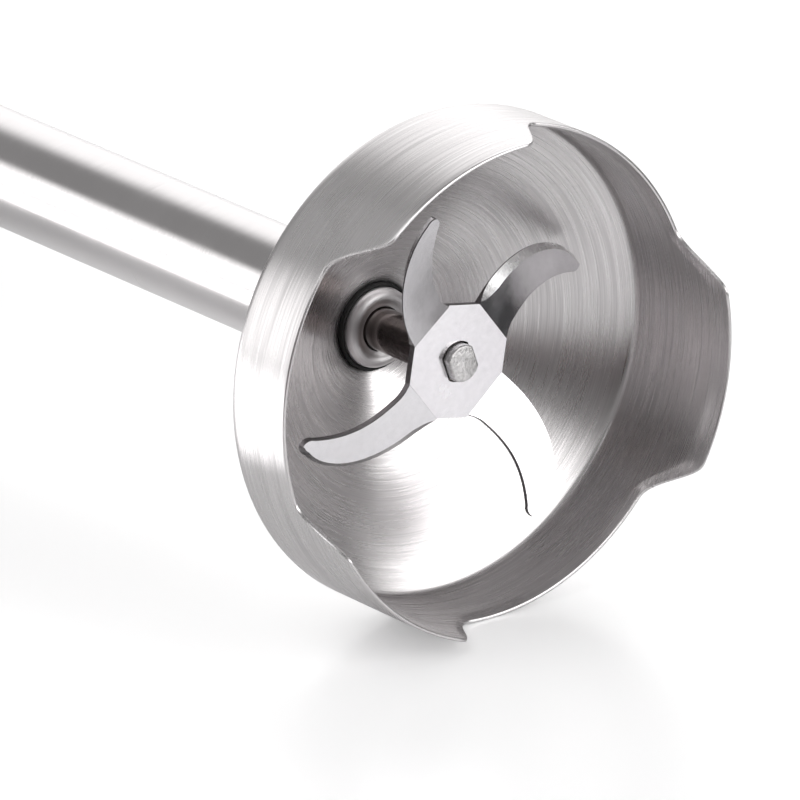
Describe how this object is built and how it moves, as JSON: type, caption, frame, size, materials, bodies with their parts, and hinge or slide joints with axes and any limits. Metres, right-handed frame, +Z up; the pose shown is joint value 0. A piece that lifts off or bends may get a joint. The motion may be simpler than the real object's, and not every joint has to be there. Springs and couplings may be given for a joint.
{
  "type": "immersion blender",
  "caption": "Immersion blender on its side: brushed stainless foot with a wavy-rimmed bell and a bent cross blade, twist-lock collar, motor handle with buttons and dial.",
  "frame": {"origin": "on the table, midway along the length, under the drive shaft's axis", "axes": "+X along the drive shaft towards the bell's mouth, +Z up from the table towards the buttons, +Y across"},
  "size_m": [0.4, 0.08, 0.08],
  "materials": {
    "brushed_steel": "spun and brushed stainless",
    "polished_steel": "bright ground stainless",
    "spring_steel": "zinc plated",
    "black_rubber": "matt",
    "bronze": "sintered bronze and copper bars",
    "black_plastic": "fine moulded texture",
    "nylon": "natural",
    "dark_nylon": "glass filled",
    "core_steel": "stacked laminations",
    "copper_wire": "enamelled copper",
    "cast_alloy": "die cast",
    "brass": "pressed",
    "carbon": "graphite",
    "soft_grip": "soft touch",
    "board_green": "solder mask",
    "button_grey": "satin"
  },
  "bodies": {
    "handle": {"front_shell": "black_plastic", "rear_shell": "black_plastic", "grip_pad": "soft_grip", "rest_pad": "black_rubber", "end_cap": "black_plastic", "cord_gland": "black_rubber", "nose_ring": "brushed_steel", "lock_ring": "nylon", "stator_core": "core_steel", "field_coils": "copper_wire", "front_frame": "cast_alloy", "rear_frame": "cast_alloy", "front_motor_bearing": "polished_steel", "rear_motor_bearing": "polished_steel", "brush_holders": "brass", "carbon_brushes": "carbon", "brush_springs": "spring_steel", "front_damper": "black_rubber", "rear_damper": "black_rubber", "circuit_board": "board_green", "power_switch": "black_plastic", "turbo_switch": "black_plastic", "potentiometer": "nylon", "shell_screws": "spring_steel", "power_spring": "spring_steel", "turbo_spring": "spring_steel"},
    "foot": {"bell_guard": "brushed_steel", "foot_tube": "brushed_steel", "nose_sleeve": "polished_steel", "lip_seal": "black_rubber", "lower_bearing": "bronze", "shaft_sealing_ring": "black_rubber", "upper_bearing": "bronze", "foot_collar": "black_plastic", "collar_ring": "brushed_steel"},
    "blade_shaft": {"drive_shaft": "polished_steel", "blade": "polished_steel", "thrust_washer": "polished_steel", "shaft_clip": "spring_steel", "coupling_socket": "dark_nylon"},
    "rotor": {"motor_shaft": "polished_steel", "drive_dog": "nylon", "armature_core": "core_steel", "armature_windings": "copper_wire", "commutator": "bronze", "cooling_fan": "dark_nylon"},
    "power_button": {"power_button": "button_grey"},
    "turbo_button": {"turbo_button": "button_grey"},
    "speed_dial": {"speed_dial": "button_grey"}
  },
  "joints": [
    {"name": "foot_twist", "type": "hinge", "parent": "handle", "child": "foot", "pos_m": [0, 0, 0.04], "axis": [1, 0, 0], "range_deg": [0, 35]},
    {"name": "rotor_spin", "type": "hinge", "parent": "handle", "child": "rotor", "pos_m": [-0.07, 0, 0.04], "axis": [1, 0, 0], "continuous": true},
    {"name": "blade_spin", "type": "hinge", "parent": "handle", "child": "blade_shaft", "pos_m": [0.1, 0, 0.04], "axis": [1, 0, 0], "continuous": true},
    {"name": "power_press", "type": "slide", "parent": "handle", "child": "power_button", "axis": [0, 0, -1], "range_m": [0, 0.0022], "stiffness_N_per_m": 900, "springref_m": -0.001, "deforming": ["power_spring"]},
    {"name": "turbo_press", "type": "slide", "parent": "handle", "child": "turbo_button", "axis": [0, 0, -1], "range_m": [0, 0.0022], "stiffness_N_per_m": 900, "springref_m": -0.001, "deforming": ["turbo_spring"]},
    {"name": "speed_turn", "type": "hinge", "parent": "handle", "child": "speed_dial", "pos_m": [-0.19, 0, 0.048], "axis": [-1, 0, 0], "range_deg": [0, 270]}
  ],
  "couplings": [
    {"joint": "blade_spin", "follows": "rotor_spin", "ratio": 1}
  ]
}
